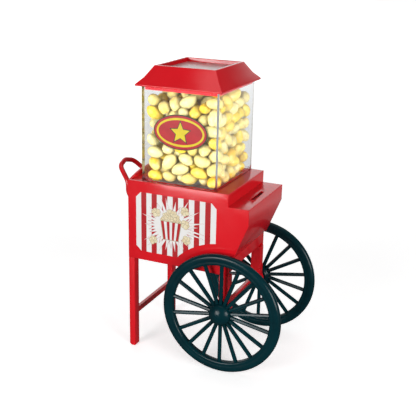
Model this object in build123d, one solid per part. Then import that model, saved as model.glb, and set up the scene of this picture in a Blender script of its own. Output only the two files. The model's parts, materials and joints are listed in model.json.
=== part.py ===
"""Tabletop candy dispenser shaped like an old popcorn cart.

A glossy red cart body on two spoked wheels and two straight back legs carries a clear hopper
with a hipped lid.  Candy falls from the hopper through a funnel into a shallow drawer under
the nose.  A coin goes through the slot in the shelf, rolls along a chute and drops into the
bank around the funnel, which is emptied through a plug underneath.

Millimetres.  +Z is up and the ground is z = 0.  +X points to the nose, where the candy comes
out.  The near side, with the emblem, faces -Y.  The origin is under the middle of the
object's box.
"""
import os

from build123d import *

os.makedirs("parts", exist_ok=True)

# ---- driving dimensions ------------------------------------------------------------------
BODY_BACK = -65.5        # the body's flat back face
BODY_WIDTH = 93.0
WALL = 2.2               # moulded wall thickness
BODY_BOTTOM = 96.5
DECK_TOP = 176.3
SHELF_TOP = 164.3
LIP_BOTTOM = 148.9
NOSE_FOOT = 113.4        # where the slanted nose ends, above the drawer
STEP = 104.1             # lengths along the body, measured from its back face
SHELF_FRONT = 124.6
NOSE_FOOT_FRONT = 110.3
DRAWER_FRONT = 107.2

WHEEL_RADIUS = 60.0
AXLE_FROM_BACK = 102.7
AXLE_RADIUS = 2.5
SPOKES = 18

HOPPER_BACK = 13.8
HOPPER_LENGTH = 77.9
HOPPER_WIDTH = 88.2
HOPPER_WALL = 2.5
HOPPER_TOP = 268.4

LID_LENGTH = 86.4
LID_WIDTH = 96.6
EAVE = 267.0
TOTAL_HEIGHT = 285.0

HALF = BODY_WIDTH / 2
INNER = HALF - WALL
AXLE_X = BODY_BACK + AXLE_FROM_BACK
HOPPER_X = BODY_BACK + HOPPER_BACK + HOPPER_LENGTH / 2
SIDES = {"near": -1, "far": 1}

up = (Align.CENTER, Align.CENTER, Align.MIN)
down = (Align.CENTER, Align.CENTER, Align.MAX)


def from_back(length):
    """X of a place given as its length from the body's back face."""
    return BODY_BACK + length


def block(x0, x1, y0, y1, z0, z1):
    """A box between two corners, with the X values as lengths from the back face."""
    middle = (from_back((x0 + x1) / 2), (y0 + y1) / 2, (z0 + z1) / 2)
    return Pos(*middle) * Box(x1 - x0, abs(y1 - y0), z1 - z0)


def profile_y(points, y0, y1):
    """A (length from back, z) outline, extruded across the cart from y0 to y1."""
    outline = Polyline(*[(from_back(x), 0, z) for x, z in points], close=True)
    face = make_face(outline.edges())
    return Pos(0, min(y0, y1), 0) * extrude(face, abs(y1 - y0), dir=(0, 1, 0))


def rod_y(radius, x, z, y0, y1):
    """A round bar along Y."""
    return Pos(x, (y0 + y1) / 2, z) * Rot(90, 0, 0) * Cylinder(radius, abs(y1 - y0))


def save(node, shape):
    export_step(shape, f"parts/{node}.step")


# ---- body panels -------------------------------------------------------------------------
# Moulded walls, flush with each other outside.  Each side panel carries two bosses that take
# the bottom cover's screws.
BOSS_RADIUS = 3.2
BOSS_TOP = BODY_BOTTOM + 16
SCREW_PLACES = [14.0, 92.0]
SCREW_Y = 40.4
COVER_TOP = BODY_BOTTOM + WALL
SCREW_CORE = 1.25
CORE_DEPTH = 12.0
BOSS_GAP = 0.1
BOSS_WEB = 2.0

side_outline = [
    (0, BODY_BOTTOM),
    (0, DECK_TOP),
    (STEP, DECK_TOP),
    (STEP, SHELF_TOP),
    (SHELF_FRONT, SHELF_TOP),
    (SHELF_FRONT, LIP_BOTTOM),
    (NOSE_FOOT_FRONT, NOSE_FOOT),
    (DRAWER_FRONT, NOSE_FOOT),
    (DRAWER_FRONT, BODY_BOTTOM),
]


def side_panel(side):
    panel = profile_y(side_outline, side * INNER, side * HALF)
    for place in SCREW_PLACES:
        low = COVER_TOP + BOSS_GAP
        boss = Cylinder(BOSS_RADIUS, BOSS_TOP - low, align=up)
        web = Box(BOSS_WEB, INNER - SCREW_Y, BOSS_TOP - low, align=up)
        core = Cylinder(SCREW_CORE, CORE_DEPTH, align=up)
        at = Pos(from_back(place), side * SCREW_Y, low)
        panel += at * boss
        panel += Pos(from_back(place), side * (SCREW_Y + INNER) / 2, low) * web
        panel -= at * core
    return panel


for name, side in SIDES.items():
    save(f"{name}_side_panel", side_panel(side))

# The deck has the funnel's mouth, and four slots for the hopper's tabs.
MOUTH_LENGTH = 66.0
MOUTH_WIDTH = 76.0
TAB_LENGTH = 8.0
TAB_THICK = 1.6
TAB_FIT = 0.15
TAB_INSET = 1.2
TAB_Y = HOPPER_WIDTH / 2 - HOPPER_WALL - TAB_INSET
TAB_X = 24.0

deck = block(WALL, STEP, -INNER, INNER, DECK_TOP - WALL, DECK_TOP)
deck -= Pos(HOPPER_X, 0, DECK_TOP) * Box(MOUTH_LENGTH, MOUTH_WIDTH, 3 * WALL)
for side in SIDES.values():
    for end in (-1, 1):
        slot = Box(TAB_LENGTH + 2 * TAB_FIT, TAB_THICK + 2 * TAB_FIT, 3 * WALL)
        deck -= Pos(HOPPER_X + end * TAB_X, side * TAB_Y, DECK_TOP) * slot
save("deck_plate", deck)

# The nose is one bent moulding: step, shelf with the coin slot, lip and slanted face.
SLOT_LENGTH = 29.0
SLOT_WIDTH = 3.4
SLOT_FROM_BACK = 115.3
SLANT = (SHELF_FRONT - NOSE_FOOT_FRONT) / (LIP_BOTTOM - NOSE_FOOT)
SLANT_WALL = WALL * (1 + SLANT**2) ** 0.5
FOOT_GAP = 0.8

foot_z = NOSE_FOOT + FOOT_GAP
foot_x = NOSE_FOOT_FRONT + SLANT * FOOT_GAP
nose_outline = [
    (STEP, DECK_TOP - WALL),
    (STEP, SHELF_TOP),
    (SHELF_FRONT, SHELF_TOP),
    (SHELF_FRONT, LIP_BOTTOM),
    (foot_x, foot_z),
    (foot_x - SLANT_WALL, foot_z),
    (SHELF_FRONT - WALL, LIP_BOTTOM + (SLANT_WALL - WALL) / SLANT),
    (SHELF_FRONT - WALL, SHELF_TOP - WALL),
    (STEP - WALL, SHELF_TOP - WALL),
    (STEP - WALL, DECK_TOP - WALL),
]
nose = profile_y(nose_outline, -INNER, INNER)
nose -= Pos(from_back(SLOT_FROM_BACK), 0, SHELF_TOP) * Box(SLOT_WIDTH, SLOT_LENGTH, 3 * WALL)
save("nose_cover", nose)

# ---- push handle and back panel ----------------------------------------------------------
# The back panel rises behind the deck in a low arched crest.  The handle is a bent rod that
# leans away from the body.  Its two ends meet the back panel, where a screw from inside holds
# each of them.
CREST_TOP = 183.0
HANDLE_RADIUS = 2.4
HANDLE_Y = 20.5
HANDLE_Z = 147.5
HANDLE_STAND = 14.5
HANDLE_BEND = 10.0
HANDLE_KNEE = 165.0
HANDLE_SHOULDER = (-27.6, 13.5, 178.2)
HANDLE_APEX = (-29.52, 0, 181.4)
HANDLE_SCREW = 7.5

arch = ThreePointArc(
    (from_back(0), INNER, DECK_TOP), (from_back(0), 0, CREST_TOP), (from_back(0), -INNER, DECK_TOP)
)
straight = Polyline(
    (from_back(0), -INNER, DECK_TOP),
    (from_back(0), -INNER, BODY_BOTTOM),
    (from_back(0), INNER, BODY_BOTTOM),
    (from_back(0), INNER, DECK_TOP),
)
back = extrude(make_face(straight.edges() + arch.edges()), WALL, dir=(1, 0, 0))
for side in SIDES.values():
    place = Pos(from_back(0), side * HANDLE_Y, HANDLE_Z) * Rot(0, 90, 0)
    back -= place * Cylinder(SCREW_CORE, 3 * WALL)
save("back_panel", back)

half_route = [
    (0, HANDLE_Y, HANDLE_Z),
    (-HANDLE_STAND, HANDLE_Y, HANDLE_Z),
    (-HANDLE_STAND, HANDLE_Y, HANDLE_KNEE),
    HANDLE_SHOULDER,
]
route = half_route + [HANDLE_APEX] + [(x, -y, z) for x, y, z in reversed(half_route)]
path = FilletPolyline(*[(from_back(x), y, z) for x, y, z in route], radius=HANDLE_BEND)
rod_end = Plane(origin=(from_back(0), HANDLE_Y, HANDLE_Z), z_dir=(-1, 0, 0))
handle = sweep(rod_end * Circle(HANDLE_RADIUS), path=path)
save("push_handle", handle)


SHANK_RADIUS = 1.05
HEAD_RADIUS = 2.6
HEAD_HEIGHT = 1.6
HEAD_ROUND = 0.9
CROSS = (2.8, 0.7, 1.2)


def screw(length):
    """A round-headed screw that points along +Z, its head's bearing face at z = 0."""
    body = Cylinder(SHANK_RADIUS, length, align=up)
    dome = Pos(0, 0, -HEAD_HEIGHT) * Cylinder(HEAD_RADIUS, HEAD_HEIGHT, align=up)
    dome = fillet(dome.edges().group_by(Axis.Z)[0], HEAD_ROUND)
    wide, thin, deep = CROSS
    cross = Box(wide, thin, deep) + Box(thin, wide, deep)
    return body + dome - Pos(0, 0, -HEAD_HEIGHT) * cross


handle_screws = []
for side in SIDES.values():
    place = Pos(from_back(WALL), side * HANDLE_Y, HANDLE_Z) * Rot(0, -90, 0)
    handle_screws.append(place * screw(HANDLE_SCREW))
save("handle_screws", Compound(handle_screws))

# ---- bottom cover, its screws and the bank plug ------------------------------------------
PLUG_FROM_BACK = 34.0
PLUG_RADIUS = 14.0
PLUG_FIT = 0.05
LEG_LENGTH = 6.5
LEG_WIDTH = 9.0
SPIGOT_HEIGHT = 14.5
FRONT_LEG_BACK = 97.2
FRONT_LEG_WIDTH = 8.0
FRONT_SPIGOT_FRONT = 104.4
NOTCH_FIT = 0.2
RAIL_Y = 28.0
RAIL_WIDTH = 1.5
RAIL_HEIGHT = 4.0
RAIL_BACK = 50.0
RAIL_FRONT = 100.0
COVER_FRONT = DRAWER_FRONT - 3.0
COVER_SCREW = 10.0
SCREW_CLEAR = 1.4
FINGER_WIDTH = 30.0
FINGER_DEPTH = 6.0

cover = block(WALL, COVER_FRONT, -INNER, INNER, BODY_BOTTOM, COVER_TOP)
for side in SIDES.values():
    back_notch = LEG_LENGTH + NOTCH_FIT
    wide = HALF - LEG_WIDTH - NOTCH_FIT
    cover -= block(0, back_notch, side * wide, side * HALF, BODY_BOTTOM - 1, COVER_TOP + 1)
    wide = HALF - FRONT_LEG_WIDTH - NOTCH_FIT
    front = FRONT_LEG_BACK - NOTCH_FIT
    cover -= block(front, DRAWER_FRONT, side * wide, side * HALF, BODY_BOTTOM - 1, COVER_TOP + 1)
    rail = side * (RAIL_Y + RAIL_WIDTH)
    cover += block(RAIL_BACK, RAIL_FRONT, side * RAIL_Y, rail, COVER_TOP, COVER_TOP + RAIL_HEIGHT)
    for place in SCREW_PLACES:
        cover -= Pos(from_back(place), side * SCREW_Y, COVER_TOP) * Cylinder(SCREW_CLEAR, 3 * WALL)
cover -= Pos(from_back(PLUG_FROM_BACK), 0, COVER_TOP) * Cylinder(PLUG_RADIUS, 3 * WALL)
finger = FINGER_WIDTH / 2
cover -= block(COVER_FRONT - FINGER_DEPTH, DRAWER_FRONT, -finger, finger, BODY_BOTTOM - 1, COVER_TOP + 1)
save("bottom_cover", cover)

cover_screws = []
for side in SIDES.values():
    for place in SCREW_PLACES:
        cover_screws.append(Pos(from_back(place), side * SCREW_Y, BODY_BOTTOM) * screw(COVER_SCREW))
save("bottom_cover_screws", Compound(cover_screws))

# A soft stopper: a plug through the cover with a thin flange under it.
PLUG_FLANGE = 16.5
PLUG_HEIGHT = 5.0
PLUG_FLOOR = 1.0
PLUG_WALL = 2.0
FLANGE_THICK = 1.4
GRIP = (14.0, 3.0, 2.2)

plug_at = Pos(from_back(PLUG_FROM_BACK), 0, BODY_BOTTOM)
plug = plug_at * Cylinder(PLUG_RADIUS - PLUG_FIT, PLUG_HEIGHT, align=up)
plug += plug_at * Cylinder(PLUG_FLANGE, FLANGE_THICK, align=down)
plug -= plug_at * Pos(0, 0, PLUG_FLOOR) * Cylinder(PLUG_RADIUS - PLUG_WALL, PLUG_HEIGHT, align=up)
plug += plug_at * Pos(0, 0, -FLANGE_THICK) * Box(*GRIP, align=down)
save("bank_plug", plug)

# ---- funnel under the deck ---------------------------------------------------------------
# It takes the candy from the whole hopper floor to an outlet over the drawer's cup.
OUTLET_BACK = 66.0
OUTLET_FRONT = 96.0
OUTLET_WIDTH = 44.0
OUTLET_Z = 114.6
FUNNEL_WALL = 1.6
FLANGE = 1.6
FLANGE_REACH = 3.0

outlet_x = from_back((OUTLET_BACK + OUTLET_FRONT) / 2)
funnel_top = DECK_TOP - WALL


def funnel_space(grow):
    """The funnel's inside, grown by a wall thickness."""
    low_x = OUTLET_FRONT - OUTLET_BACK + 2 * grow
    low = Pos(outlet_x, 0, OUTLET_Z) * Rectangle(low_x, OUTLET_WIDTH + 2 * grow)
    top = Pos(HOPPER_X, 0, funnel_top) * Rectangle(MOUTH_LENGTH + 2 * grow, MOUTH_WIDTH + 2 * grow)
    return loft([low, top], ruled=True)


funnel = funnel_space(FUNNEL_WALL)
rim_z = funnel_top - FLANGE
funnel += Pos(HOPPER_X, 0, rim_z) * Box(MOUTH_LENGTH + 2 * FLANGE_REACH, MOUTH_WIDTH + 2 * FLANGE_REACH, FLANGE, align=up)
funnel -= funnel_space(0)
save("funnel", funnel)

# ---- coin chute --------------------------------------------------------------------------
# A wall behind the slot and a sloping ledge.  The coin rolls along the ledge to the far side
# and drops past the drawer into the bank.
CHUTE_WALL = 112.0
CHUTE_THICK = 1.2
LEDGE_FRONT = 116.6
LEDGE_HIGH = 147.0
LEDGE_LOW = 138.5
LEDGE_START = -16.0
LEDGE_END = 17.0
LEDGE_THICK = 1.5
CHUTE_LOW = 134.0
CHUTE_TOP = SHELF_TOP - WALL - 0.1
SIDE_GAP = 0.3

chute_front = CHUTE_WALL + CHUTE_THICK
chute = block(CHUTE_WALL, chute_front, LEDGE_START, INNER - SIDE_GAP, CHUTE_LOW, CHUTE_TOP)
ledge = make_face(
    Polyline(
        (from_back(CHUTE_WALL), LEDGE_START, LEDGE_HIGH),
        (from_back(CHUTE_WALL), LEDGE_END, LEDGE_LOW),
        (from_back(CHUTE_WALL), LEDGE_END, LEDGE_LOW - LEDGE_THICK),
        (from_back(CHUTE_WALL), LEDGE_START, LEDGE_HIGH - LEDGE_THICK),
        close=True,
    ).edges()
)
chute += extrude(ledge, LEDGE_FRONT - CHUTE_WALL, dir=(1, 0, 0))
chute_end = LEDGE_START - CHUTE_THICK
chute += block(CHUTE_WALL, LEDGE_FRONT, chute_end, LEDGE_START, LEDGE_HIGH - LEDGE_THICK, CHUTE_TOP)
save("coin_chute", chute)

# ---- bean drawer -------------------------------------------------------------------------
# A shallow cup under the funnel's outlet.  The plate behind the cup shuts the outlet while
# the drawer is pulled out.
DRAWER_GAP = 0.05
DRAWER_LOW = COVER_TOP + DRAWER_GAP
DRAWER_HIGH = NOSE_FOOT
DRAWER_HALF = 27.2
DRAWER_FLOOR = 1.4
DRAWER_SIDE = 1.6
CUP_BACK = 61.0
GATE_BACK = 24.0
GATE_THICK = 1.2
FRONT_THICK = 2.0
FRONT_LOW = 100.3
FRONT_HIGH = 112.9
FRONT_ROUND = 0.6

cup_front = DRAWER_FRONT - FRONT_THICK
drawer = block(CUP_BACK, cup_front, -DRAWER_HALF, DRAWER_HALF, DRAWER_LOW, DRAWER_HIGH)
inner_half = DRAWER_HALF - DRAWER_SIDE
drawer -= block(
    CUP_BACK + DRAWER_SIDE,
    cup_front - DRAWER_SIDE,
    -inner_half,
    inner_half,
    DRAWER_LOW + DRAWER_FLOOR,
    DRAWER_HIGH + 1,
)
drawer += block(GATE_BACK, CUP_BACK, -DRAWER_HALF, DRAWER_HALF, DRAWER_HIGH - GATE_THICK, DRAWER_HIGH)
save("bean_drawer", drawer)

front_half = INNER - SIDE_GAP
front_plate = block(cup_front, DRAWER_FRONT, -front_half, front_half, FRONT_LOW, FRONT_HIGH)
front_edges = front_plate.edges().group_by(Axis.X)[-1]
save("drawer_front", fillet(front_edges, FRONT_ROUND))

# ---- clear hopper ------------------------------------------------------------------------
# An open box of clear walls with a thicker foot, and four tabs that go through the deck.
FOOT_HEIGHT = 3.0
FOOT_THICK = 3.6
HOPPER_ROUND = 1.2

hopper_at = Pos(HOPPER_X, 0, DECK_TOP)
height = HOPPER_TOP - DECK_TOP
hopper = Box(HOPPER_LENGTH, HOPPER_WIDTH, height, align=up)
hopper = fillet(hopper.edges().filter_by(Axis.Z), HOPPER_ROUND)
bore_x = HOPPER_LENGTH - 2 * HOPPER_WALL
bore_y = HOPPER_WIDTH - 2 * HOPPER_WALL
foot_x_size = HOPPER_LENGTH - 2 * FOOT_THICK
foot_y_size = HOPPER_WIDTH - 2 * FOOT_THICK
hopper -= Pos(0, 0, FOOT_HEIGHT) * Box(bore_x, bore_y, height, align=up)
hopper -= Box(foot_x_size, foot_y_size, 3 * FOOT_HEIGHT)
hopper = hopper_at * hopper
for side in SIDES.values():
    for end in (-1, 1):
        tab = Box(TAB_LENGTH, TAB_THICK, WALL + FOOT_HEIGHT, align=up)
        hopper += Pos(HOPPER_X + end * TAB_X, side * TAB_Y, DECK_TOP - WALL) * tab
save("hopper_box", hopper)

# ---- printed labels ----------------------------------------------------------------------
# An oval emblem on the hopper and a striped label on each side of the body, cut round the
# wheel at its lower front corner.
LABEL_THICK = 0.25
EMBLEM_X = from_back(54.2)
EMBLEM_Z = 227.6
EMBLEM_LENGTH = 54.4
EMBLEM_HEIGHT = 32.8

oval = Pos(EMBLEM_X, -HOPPER_WIDTH / 2, EMBLEM_Z) * Rot(90, 0, 0) * Ellipse(EMBLEM_LENGTH / 2, EMBLEM_HEIGHT / 2)
save("hopper_emblem", extrude(oval, LABEL_THICK, dir=(0, -1, 0)))

LABEL_BACK = 9.0
LABEL_FRONT = 93.0
LABEL_LOW = 106.0
LABEL_HIGH = 165.8
LABEL_CUT = 5.2
LABEL_ARC = 67.5


def side_label(side):
    outline = [
        (LABEL_BACK, LABEL_LOW + LABEL_CUT),
        (LABEL_BACK, LABEL_HIGH - LABEL_CUT),
        (LABEL_BACK + LABEL_CUT, LABEL_HIGH),
        (LABEL_FRONT - LABEL_CUT, LABEL_HIGH),
        (LABEL_FRONT, LABEL_HIGH - LABEL_CUT),
        (LABEL_FRONT, LABEL_LOW),
        (LABEL_BACK + LABEL_CUT, LABEL_LOW),
    ]
    sheet = profile_y(outline, side * HALF, side * (HALF + LABEL_THICK))
    return sheet - rod_y(LABEL_ARC, AXLE_X, WHEEL_RADIUS, -HALF - 5, HALF + 5)


for name, side in SIDES.items():
    save(f"{name}_label", side_label(side))

# ---- lid ---------------------------------------------------------------------------------
# A hollow hipped roof, flared a little at the eaves, with a frame round a sunken window and
# a skirt that goes down inside the hopper.
EAVE_EDGE = 1.6
FLARE_Z = EAVE + 7.6
FLARE_IN = (5.8, 6.7)
RIM_LENGTH = 61.3
RIM_WIDTH = 67.6
LID_WALL = 2.0
WINDOW_LENGTH = 56.4
WINDOW_WIDTH = 62.7
WINDOW_TOP = 281.0
WINDOW_THICK = 1.8
WINDOW_LEDGE = 2.0
CAVITY_TOP = 276.5
SKIRT_FIT = 0.4
SKIRT_LOW = 263.4
SKIRT_WALL = 2.0
SKIRT_RISE = 6.5
WINDOW_FIT = 0.3


def lid_section(length, width, z):
    return Pos(HOPPER_X, 0, z) * Rectangle(length, width)


flare = (LID_LENGTH - 2 * FLARE_IN[0], LID_WIDTH - 2 * FLARE_IN[1])
lid = loft(
    [lid_section(LID_LENGTH, LID_WIDTH, EAVE + EAVE_EDGE), lid_section(*flare, FLARE_Z)],
    ruled=True,
)
lid += loft([lid_section(*flare, FLARE_Z), lid_section(RIM_LENGTH, RIM_WIDTH, TOTAL_HEIGHT)], ruled=True)
lid += Pos(HOPPER_X, 0, EAVE) * Box(LID_LENGTH, LID_WIDTH, EAVE_EDGE, align=up)

cavity_low = (LID_LENGTH - 2 * LID_WALL, LID_WIDTH - 2 * LID_WALL)
cavity_mid = (flare[0] - 3.2 * LID_WALL, flare[1] - 3.2 * LID_WALL)
lid -= loft(
    [lid_section(*cavity_low, EAVE), lid_section(*cavity_mid, FLARE_Z)],
    ruled=True,
)
lid -= Pos(HOPPER_X, 0, FLARE_Z) * Box(*cavity_mid, CAVITY_TOP - FLARE_Z, align=up)
pocket_z = WINDOW_TOP - WINDOW_THICK
lid -= Pos(HOPPER_X, 0, pocket_z) * Box(WINDOW_LENGTH, WINDOW_WIDTH, 20, align=up)
view = (WINDOW_LENGTH - 2 * WINDOW_LEDGE, WINDOW_WIDTH - 2 * WINDOW_LEDGE)
lid -= Pos(HOPPER_X, 0, CAVITY_TOP - 1) * Box(*view, 20, align=up)

skirt_x = bore_x - 2 * SKIRT_FIT
skirt_y = bore_y - 2 * SKIRT_FIT
skirt_top = EAVE + SKIRT_RISE
skirt = Box(skirt_x, skirt_y, skirt_top - SKIRT_LOW, align=up)
skirt -= Box(skirt_x - 2 * SKIRT_WALL, skirt_y - 2 * SKIRT_WALL, 60)
lid += Pos(HOPPER_X, 0, SKIRT_LOW) * skirt
save("lid_roof", lid)

window = Box(WINDOW_LENGTH - WINDOW_FIT, WINDOW_WIDTH - WINDOW_FIT, WINDOW_THICK, align=up)
save("lid_window", Pos(HOPPER_X, 0, pocket_z) * window)

# ---- legs --------------------------------------------------------------------------------
# Square posts under the body's corners, each with a spigot up into it.  The back pair stand
# on the ground; the front pair end in an eye round the axle.
LEG_BEVEL = 2.0
BRACE_BACK = 1.6
BRACE_FRONT = 4.8
BRACE_LOW = 33.0
BRACE_HIGH = 39.0
EYE_RADIUS = 6.4
FRONT_LEG_FRONT = 107.5
SEAT_GAP = 0.05
FRONT_BRACE_LOW = WHEEL_RADIUS + AXLE_RADIUS + 0.6
FRONT_BRACE_HEIGHT = 3.0
FRONT_BRACE_BACK = 100.6
FRONT_BRACE_FRONT = 103.6


def back_leg(side):
    outer = side * HALF
    inner = side * (HALF - LEG_WIDTH)
    leg = block(0, LEG_LENGTH, inner, outer, 0, BODY_BOTTOM - SEAT_GAP)
    toe = leg.edges().group_by(Axis.Z)[0].filter_by(Axis.Y).sort_by(Axis.X)[0]
    leg = chamfer(toe, LEG_BEVEL)
    spigot_out = side * (INNER - NOTCH_FIT)
    return leg + block(WALL + NOTCH_FIT, LEG_LENGTH, inner, spigot_out, BODY_BOTTOM - 2, BODY_BOTTOM + SPIGOT_HEIGHT)


def front_leg(side):
    outer = side * HALF
    inner = side * (HALF - FRONT_LEG_WIDTH)
    leg = block(FRONT_LEG_BACK, FRONT_LEG_FRONT, inner, outer, WHEEL_RADIUS, BODY_BOTTOM - SEAT_GAP)
    leg += rod_y(EYE_RADIUS, AXLE_X, WHEEL_RADIUS, inner, outer)
    spigot_out = side * (INNER - NOTCH_FIT)
    top = BODY_BOTTOM + SPIGOT_HEIGHT
    leg += block(FRONT_LEG_BACK, FRONT_SPIGOT_FRONT, inner, spigot_out, BODY_BOTTOM - 2, top)
    return leg - rod_y(AXLE_RADIUS, AXLE_X, WHEEL_RADIUS, inner - side, outer + side)


for name, side in SIDES.items():
    save(f"{name}_back_leg", back_leg(side))
    save(f"{name}_front_leg", front_leg(side))

back_gap = HALF - LEG_WIDTH
save("back_leg_brace", block(BRACE_BACK, BRACE_FRONT, -back_gap, back_gap, BRACE_LOW, BRACE_HIGH))
front_gap = HALF - FRONT_LEG_WIDTH
brace_top = FRONT_BRACE_LOW + FRONT_BRACE_HEIGHT
brace = block(FRONT_BRACE_BACK, FRONT_BRACE_FRONT, -front_gap, front_gap, FRONT_BRACE_LOW, brace_top)
save("front_leg_brace", brace)

# ---- axle and wheels ---------------------------------------------------------------------
# The axle is fixed in the legs' eyes.  The wheels turn on its ends between a washer and a
# push nut, under a domed cap that snaps on the hub.
WHEEL_MIDDLE = 53.2
RIM_WIDTH_Y = 7.2
RIM_THICK = 10.5
RIM_ROUND = 2.6
HUB_RADIUS = 10.4
HUB_IN = 47.5
HUB_OUT = 58.2
BORE_FIT = 0.06
SPOKE_THICK = 3.6
SPOKE_DEPTH = 4.0
RIDGE = 1.2
WASHER = 0.8
WASHER_RADIUS = 5.0
NUT_RADIUS = 5.2
NUT_THICK = 0.8
NUT_GAP = 0.3
AXLE_END = 60.0
HUB_RECESS = 2.4
HUB_WALL = 2.2
SLEEVE_RADIUS = 5.0
CAP_OUT = 62.8
CAP_INSET = 0.4
CAP_SKIRT = 1.8
CAP_HOLLOW = 6.4

rim_in = WHEEL_RADIUS - RIM_THICK


def turned(section):
    """A section drawn as (radius, Y), turned about the axle."""
    return Pos(AXLE_X, 0, WHEEL_RADIUS) * revolve(section, Axis.Y, 360)


def ring(inner, outer, y0, y1):
    """A plain ring about the axle."""
    x, z = AXLE_X, WHEEL_RADIUS
    return rod_y(outer, x, z, y0, y1) - rod_y(inner, x, z, y0 - 1, y1 + 1)


def spoke(side, number):
    """One spoke, thick across the wheel, with a ridge along its outer face."""
    middle = side * WHEEL_MIDDLE
    length = rim_in - HUB_RADIUS + 3
    tip = SPOKE_DEPTH / 2
    section = Polyline(
        (-SPOKE_THICK / 2, -tip, 0),
        (-SPOKE_THICK / 2, tip - RIDGE, 0),
        (-0.4, tip, 0),
        (0.4, tip, 0),
        (SPOKE_THICK / 2, tip - RIDGE, 0),
        (SPOKE_THICK / 2, -tip, 0),
        close=True,
    )
    bar = extrude(make_face(section.edges()), length)
    bar = Pos(0, 0, HUB_RADIUS - 1.5) * bar
    if side < 0:
        bar = Rot(0, 0, 180) * bar
    return Pos(AXLE_X, middle, WHEEL_RADIUS) * Rot(0, number * 360 / SPOKES, 0) * bar


def wheel(side):
    y0 = side * (WHEEL_MIDDLE - RIM_WIDTH_Y / 2)
    y1 = side * (WHEEL_MIDDLE + RIM_WIDTH_Y / 2)
    felloe = Pos(WHEEL_RADIUS - RIM_THICK / 2, (y0 + y1) / 2) * Rectangle(RIM_THICK, RIM_WIDTH_Y)
    rim = turned(fillet(felloe.vertices(), RIM_ROUND))
    hub = ring(AXLE_RADIUS + BORE_FIT, HUB_RADIUS, side * HUB_IN, side * HUB_OUT)
    recess = side * (HUB_OUT - HUB_RECESS)
    hub -= ring(AXLE_RADIUS, HUB_RADIUS - HUB_WALL, recess, side * (HUB_OUT + 1))
    hub += ring(AXLE_RADIUS + BORE_FIT, SLEEVE_RADIUS, side * HUB_IN, recess)
    whole = rim + hub
    for number in range(SPOKES):
        whole += spoke(side, number)
    return whole - rod_y(AXLE_RADIUS + BORE_FIT, AXLE_X, WHEEL_RADIUS, side * 40, side * 70)


def hub_cap(side):
    """A shallow dome with a short skirt inside the hub."""
    inner_face = side * HUB_OUT
    rise = CAP_OUT - HUB_OUT
    radius = HUB_RADIUS - CAP_INSET
    sphere = (radius**2 + rise**2) / (2 * rise)
    centre = side * (CAP_OUT - sphere)
    dome = Pos(AXLE_X, centre, WHEEL_RADIUS) * Sphere(sphere)
    dome &= rod_y(radius, AXLE_X, WHEEL_RADIUS, inner_face, side * (CAP_OUT + 1))
    skirt_radius = HUB_RADIUS - HUB_WALL - 0.2
    dome += rod_y(skirt_radius, AXLE_X, WHEEL_RADIUS, inner_face - side * CAP_SKIRT, inner_face)
    hollow = rod_y(CAP_HOLLOW, AXLE_X, WHEEL_RADIUS, inner_face - side * 3, side * (AXLE_END + 0.6))
    return dome - hollow


save("axle", rod_y(AXLE_RADIUS, AXLE_X, WHEEL_RADIUS, -AXLE_END, AXLE_END))
washers = []
push_nuts = []
for name, side in SIDES.items():
    save(f"{name}_wheel", wheel(side))
    save(f"{name}_hub_cap", hub_cap(side))
    washers.append(ring(AXLE_RADIUS, WASHER_RADIUS, side * HALF, side * (HALF + WASHER)))
    nut_in = HUB_OUT - HUB_RECESS + NUT_GAP
    push_nuts.append(ring(AXLE_RADIUS, NUT_RADIUS, side * nut_in, side * (nut_in + NUT_THICK)))
save("axle_washers", Compound(washers))
save("axle_push_nuts", Compound(push_nuts))
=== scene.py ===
"""A tabletop candy dispenser shaped as an old popcorn cart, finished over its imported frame."""
import json
from math import cos, pi, radians, sin, tau
from random import Random

import bmesh
import bpy
from mathutils import Matrix, Vector


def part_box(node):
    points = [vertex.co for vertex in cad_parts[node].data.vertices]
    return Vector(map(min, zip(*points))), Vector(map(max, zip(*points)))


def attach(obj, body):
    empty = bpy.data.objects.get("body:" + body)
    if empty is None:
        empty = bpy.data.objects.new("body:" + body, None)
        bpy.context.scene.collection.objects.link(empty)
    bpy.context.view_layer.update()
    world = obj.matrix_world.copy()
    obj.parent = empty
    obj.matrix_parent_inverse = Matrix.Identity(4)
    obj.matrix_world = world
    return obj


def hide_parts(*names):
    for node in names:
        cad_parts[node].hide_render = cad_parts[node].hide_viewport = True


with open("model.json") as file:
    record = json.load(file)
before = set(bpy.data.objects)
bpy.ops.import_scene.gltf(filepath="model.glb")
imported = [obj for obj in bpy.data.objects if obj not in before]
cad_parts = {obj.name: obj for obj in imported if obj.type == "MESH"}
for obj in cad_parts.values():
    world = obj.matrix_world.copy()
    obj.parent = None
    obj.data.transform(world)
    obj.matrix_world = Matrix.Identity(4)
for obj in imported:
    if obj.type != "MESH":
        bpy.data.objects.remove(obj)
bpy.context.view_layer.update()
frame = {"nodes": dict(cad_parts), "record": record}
nodes = frame["nodes"]
bodies = frame["record"]["behaviour"]["bodies"]
body_of = {node: body for body, members in bodies.items() for node in members}
slot_of = {part["node"]: part["material_slot"] for part in frame["record"]["subparts"]}
MM = 0.001
SAME_POINT = 2e-6
ON_PLANE = 1e-5


# ---- the moulded red body ------------------------------------------------------------------
# The cart's walls are glossy red styrene, injection moulded and fitted flush, so that only
# their outside edges are rounded.  The gloss has the faint ripple that every moulding has.
RED = (0.745, 0.0085, 0.0165, 1)
RED_DEEP = (0.69, 0.0065, 0.0135, 1)
WALL_EDGE = 0.45 * MM


def node(tree, kind, x=0, y=0, **values):
    """A shader or geometry node, with its plain settings."""
    made = tree.nodes.new(kind)
    made.location = (x, y)
    for key, value in values.items():
        setattr(made, key, value)
    return made


def map_range(tree, x, y, spans, **values):
    """A Map Range node, with the span that comes in and then the span that goes out."""
    made = node(tree, "ShaderNodeMapRange", x, y, **values)
    for socket, value in zip(("From Min", "From Max", "To Min", "To Max"), spans):
        made.inputs[socket].default_value = value
    return made


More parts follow.
